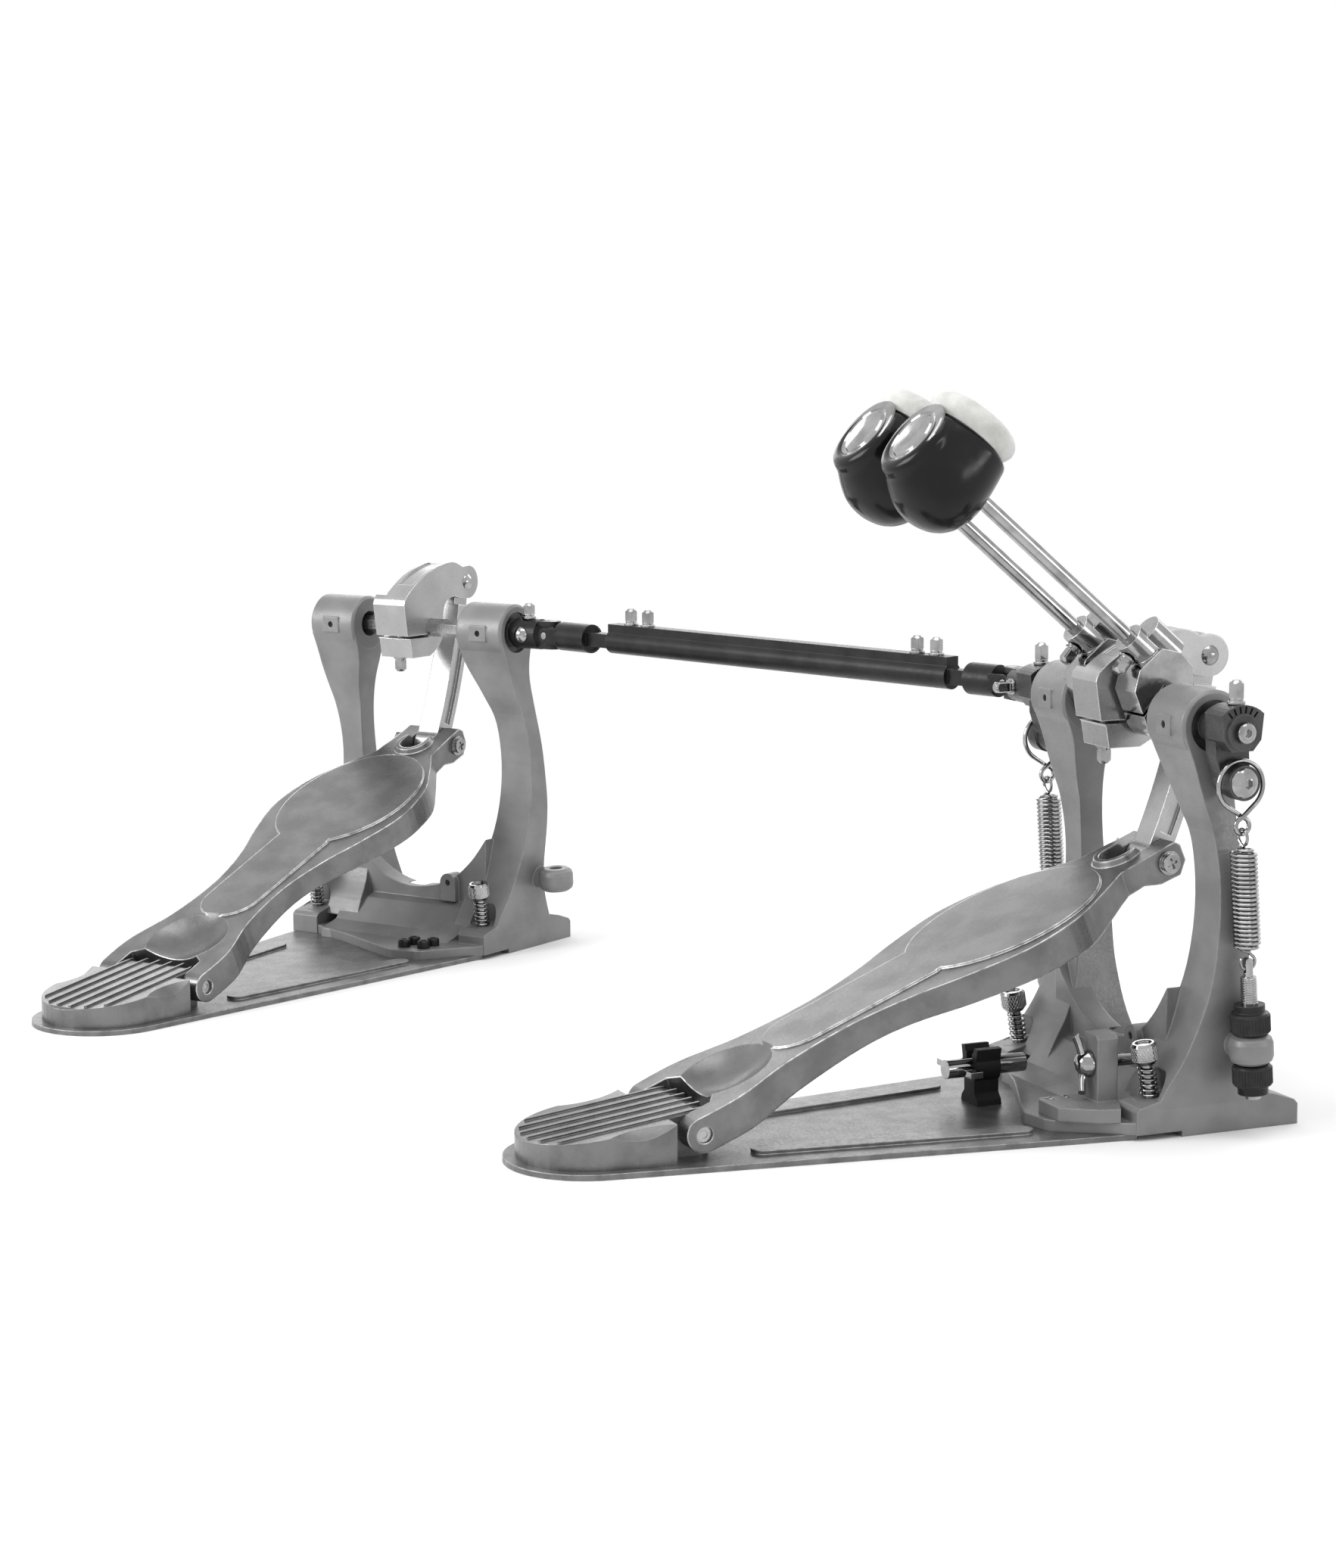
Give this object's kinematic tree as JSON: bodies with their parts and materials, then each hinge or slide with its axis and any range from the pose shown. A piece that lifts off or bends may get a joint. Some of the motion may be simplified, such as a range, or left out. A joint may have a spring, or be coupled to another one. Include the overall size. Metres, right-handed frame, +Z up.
{
  "type": "double bass drum pedal",
  "caption": "Double bass drum pedal: two direct-drive footboards, twin felt beaters, spring rockers and a jointed driveshaft between the pedals.",
  "frame": {"origin": "on the floor, on the underside of the main base plate directly below the middle of the main cam shaft", "axes": "+X to the player's right along the main cam shaft, +Y from the heel to the drum, +Z up"},
  "size_m": [0.7812, 0.5408, 0.3666],
  "materials": {
    "base_plate": "satin silver paint",
    "casting": "satin grey paint",
    "tumbled": "tumbled cast aluminium",
    "cam_metal": "satin cast aluminium",
    "chrome": "polished chrome",
    "steel": "ground steel",
    "black_steel": "black oxide",
    "black_plastic": "gloss black",
    "clip_plastic": "matt black",
    "felt": "off-white felt",
    "bearing": "bearing steel"
  },
  "bodies": {
    "main_base": {"main_base_plate": "base_plate", "main_heel_plate": "tumbled", "main_hinge_pin": "steel", "main_frame": "casting", "main_bearings": "bearing", "tension_rods": "chrome", "hoop_clamp_block": "casting", "key_clip": "clip_plastic", "main_right_spike_spring": "chrome", "main_left_spike_spring": "chrome"},
    "main_footboard": {"main_footboard": "tumbled", "main_toe_screw": "chrome"},
    "main_link": {"main_link_arm": "cam_metal"},
    "right_shaft": {"right_shaft": "steel", "main_cam": "cam_metal", "right_shaft_bolts": "chrome", "right_hub": "chrome", "right_rocker": "black_steel"},
    "right_spring": {"right_return_spring": "chrome"},
    "right_teardrop": {"right_teardrop": "chrome"},
    "right_beater": {"right_beater_rod": "chrome", "right_beater_head": "black_plastic", "right_beater_felt": "felt"},
    "left_shaft": {"left_shaft": "steel", "left_hub": "chrome", "left_shaft_bolts": "chrome", "left_rocker": "black_steel"},
    "left_spring": {"left_return_spring": "chrome"},
    "left_teardrop": {"left_teardrop": "chrome"},
    "left_beater": {"left_beater_rod": "chrome", "left_beater_head": "black_plastic", "left_beater_felt": "felt"},
    "driveshaft": {"driveshaft_tube": "black_steel", "driveshaft_bolts": "chrome"},
    "main_cross": {"driveshaft_main_cross": "steel"},
    "remote_rod": {"driveshaft_remote_rod": "black_steel"},
    "remote_cross": {"driveshaft_remote_cross": "steel"},
    "remote_base": {"remote_base_plate": "base_plate", "remote_heel_plate": "tumbled", "remote_hinge_pin": "steel", "remote_frame": "casting", "remote_bearings": "bearing", "remote_right_spike_spring": "chrome", "remote_left_spike_spring": "chrome"},
    "remote_footboard": {"remote_footboard": "tumbled", "remote_toe_screw": "chrome"},
    "remote_link": {"remote_link_arm": "cam_metal"},
    "remote_shaft": {"remote_shaft": "steel", "remote_cam": "cam_metal", "remote_yoke": "black_steel", "remote_shaft_bolts": "chrome"},
    "hoop_jaw": {"hoop_jaw": "casting"},
    "wing_bolt": {"wing_bolt": "chrome"},
    "drum_key": {"drum_key": "chrome"},
    "main_right_spike": {"main_right_spike": "chrome"},
    "main_left_spike": {"main_left_spike": "chrome"},
    "remote_right_spike": {"remote_right_spike": "chrome"},
    "remote_left_spike": {"remote_left_spike": "chrome"},
    "right_knobs": {"right_tension_knobs": "black_steel"},
    "left_knobs": {"left_tension_knobs": "black_steel"}
  },
  "joints": [
    {"name": "main_footboard_press", "type": "hinge", "parent": "main_base", "child": "main_footboard", "pos_m": [0, -0.257, 0.0164], "axis": [-1, 0, 0], "range_deg": [0, 6.5], "stiffness_Nm_per_rad": 6, "springref_deg": -6.88},
    {"name": "main_link_swing", "type": "hinge", "parent": "main_footboard", "child": "main_link", "pos_m": [0, 0.01, 0.12727], "axis": [-1, 0, 0], "range_deg": [-7.3, 0]},
    {"name": "main_shaft_turn", "type": "hinge", "parent": "main_base", "child": "right_shaft", "pos_m": [0, 0, 0.205], "axis": [-1, 0, 0], "range_deg": [0, 38.46]},
    {"name": "remote_pedal_distance", "type": "slide", "parent": "main_base", "child": "remote_base", "axis": [-0.9325, -0.3612, 0], "range_m": [-0.01, 0.06]},
    {"name": "remote_footboard_press", "type": "hinge", "parent": "remote_base", "child": "remote_footboard", "pos_m": [-0.43095, -0.41031, 0.0164], "axis": [-0.8339, -0.5519, 0], "range_deg": [0, 6.5], "stiffness_Nm_per_rad": 6, "springref_deg": -6.88},
    {"name": "remote_link_swing", "type": "hinge", "parent": "remote_footboard", "child": "remote_link", "pos_m": [-0.57832, -0.18766, 0.12727], "axis": [-0.8339, -0.5519, 0], "range_deg": [-7.3, 0]},
    {"name": "remote_shaft_turn", "type": "hinge", "parent": "remote_base", "child": "remote_shaft", "pos_m": [-0.5728, -0.196, 0.205], "axis": [-0.8339, -0.5519, 0], "range_deg": [0, 38.46]},
    {"name": "left_shaft_turn", "type": "hinge", "parent": "main_base", "child": "left_shaft", "pos_m": [-0.031, 0, 0.205], "axis": [-1, 0, 0], "range_deg": [0, 38.46]},
    {"name": "driveshaft_turn", "type": "hinge", "parent": "main_base", "child": "driveshaft", "pos_m": [-0.13, 0, 0.205], "axis": [-0.9325, -0.3612, 0], "range_deg": [0, 38.46]},
    {"name": "remote_rod_turn", "type": "hinge", "parent": "remote_base", "child": "remote_rod", "pos_m": [-0.48357, -0.13694, 0.205], "axis": [-0.9325, -0.3612, 0], "range_deg": [0, 38.46]},
    {"name": "remote_cross_swing", "type": "hinge", "parent": "remote_shaft", "child": "remote_cross", "pos_m": [-0.48357, -0.13694, 0.205], "axis": [0, 0, 1], "range_deg": [0, 2.62]},
    {"name": "main_cross_swing", "type": "hinge", "parent": "left_shaft", "child": "main_cross", "pos_m": [-0.13, 0, 0.205], "axis": [0, 0, 1], "range_deg": [-4.3, 0]},
    {"name": "right_spring_swing", "type": "hinge", "parent": "main_base", "child": "right_spring", "pos_m": [0.098, 0.00904, 0.08995], "axis": [-1, 0, 0], "range_deg": [-9.7, 0]},
    {"name": "right_spring_stretch", "type": "slide", "parent": "right_spring", "child": "right_teardrop", "axis": [0, -0.0672, 0.9977], "range_m": [0, 0.00571], "deforming": ["right_return_spring"]},
    {"name": "right_beater_height", "type": "slide", "parent": "right_shaft", "child": "right_beater", "axis": [0, -0.7604, 0.6494], "range_m": [-0.015, 0.015]},
    {"name": "right_knobs_turn", "type": "hinge", "parent": "main_base", "child": "right_knobs", "pos_m": [0.098, 0.012, 0.046], "axis": [0, -0.0672, 0.9977], "continuous": true},
    {"name": "left_spring_swing", "type": "hinge", "parent": "main_base", "child": "left_spring", "pos_m": [-0.098, 0.00904, 0.08995], "axis": [-1, 0, 0], "range_deg": [-9.7, 0]},
    {"name": "left_spring_stretch", "type": "slide", "parent": "left_spring", "child": "left_teardrop", "axis": [0, -0.0672, 0.9977], "range_m": [0, 0.00571], "deforming": ["left_return_spring"]},
    {"name": "left_beater_height", "type": "slide", "parent": "left_shaft", "child": "left_beater", "axis": [0, -0.7604, 0.6494], "range_m": [-0.015, 0.015]},
    {"name": "left_knobs_turn", "type": "hinge", "parent": "main_base", "child": "left_knobs", "pos_m": [-0.098, 0.012, 0.046], "axis": [0, -0.0672, 0.9977], "continuous": true},
    {"name": "main_right_spike_down", "type": "slide", "parent": "main_base", "child": "main_right_spike", "axis": [0, 0.1564, -0.9877], "range_m": [0, 0.008], "deforming": ["main_right_spike_spring"]},
    {"name": "main_left_spike_down", "type": "slide", "parent": "main_base", "child": "main_left_spike", "axis": [0, 0.1564, -0.9877], "range_m": [0, 0.008], "deforming": ["main_left_spike_spring"]},
    {"name": "remote_right_spike_down", "type": "slide", "parent": "remote_base", "child": "remote_right_spike", "axis": [-0.0863, 0.1304, -0.9877], "range_m": [0, 0.008], "deforming": ["remote_right_spike_spring"]},
    {"name": "remote_left_spike_down", "type": "slide", "parent": "remote_base", "child": "remote_left_spike", "axis": [-0.0863, 0.1304, -0.9877], "range_m": [0, 0.008], "deforming": ["remote_left_spike_spring"]},
    {"name": "wing_bolt_turn", "type": "hinge", "parent": "main_base", "child": "wing_bolt", "pos_m": [0.05, -0.052, 0.0345], "axis": [0, 1, 0], "range_deg": [0, 180]},
    {"name": "hoop_jaw_swing", "type": "hinge", "parent": "main_base", "child": "hoop_jaw", "pos_m": [0, 0.004, 0.019], "axis": [-1, 0, 0], "range_deg": [0, 6]},
    {"name": "drum_key_pull", "type": "slide", "parent": "main_base", "child": "drum_key", "axis": [0, -1, 0], "range_m": [0, 0.05]}
  ],
  "couplings": [
    {"joint": "main_link_swing", "follows": "main_footboard_press", "ratio": -1.123},
    {"joint": "main_shaft_turn", "follows": "main_footboard_press", "ratio": 5.914},
    {"joint": "remote_link_swing", "follows": "remote_footboard_press", "ratio": -1.123},
    {"joint": "remote_shaft_turn", "follows": "remote_footboard_press", "ratio": 5.914},
    {"joint": "left_shaft_turn", "follows": "remote_footboard_press", "ratio": 5.914},
    {"joint": "driveshaft_turn", "follows": "remote_footboard_press", "ratio": 5.914},
    {"joint": "remote_rod_turn", "follows": "remote_footboard_press", "ratio": 5.914},
    {"joint": "remote_cross_swing", "follows": "remote_footboard_press", "ratio": 0.40222},
    {"joint": "main_cross_swing", "follows": "remote_footboard_press", "ratio": -0.66095},
    {"joint": "right_spring_swing", "follows": "main_footboard_press", "ratio": -1.4916},
    {"joint": "right_spring_stretch", "follows": "main_footboard_press", "m_per_rad": 0.050312},
    {"joint": "left_spring_swing", "follows": "remote_footboard_press", "ratio": -1.4916},
    {"joint": "left_spring_stretch", "follows": "remote_footboard_press", "m_per_rad": 0.050312},
    {"joint": "hoop_jaw_swing", "follows": "wing_bolt_turn", "ratio": 0.033333}
  ]
}
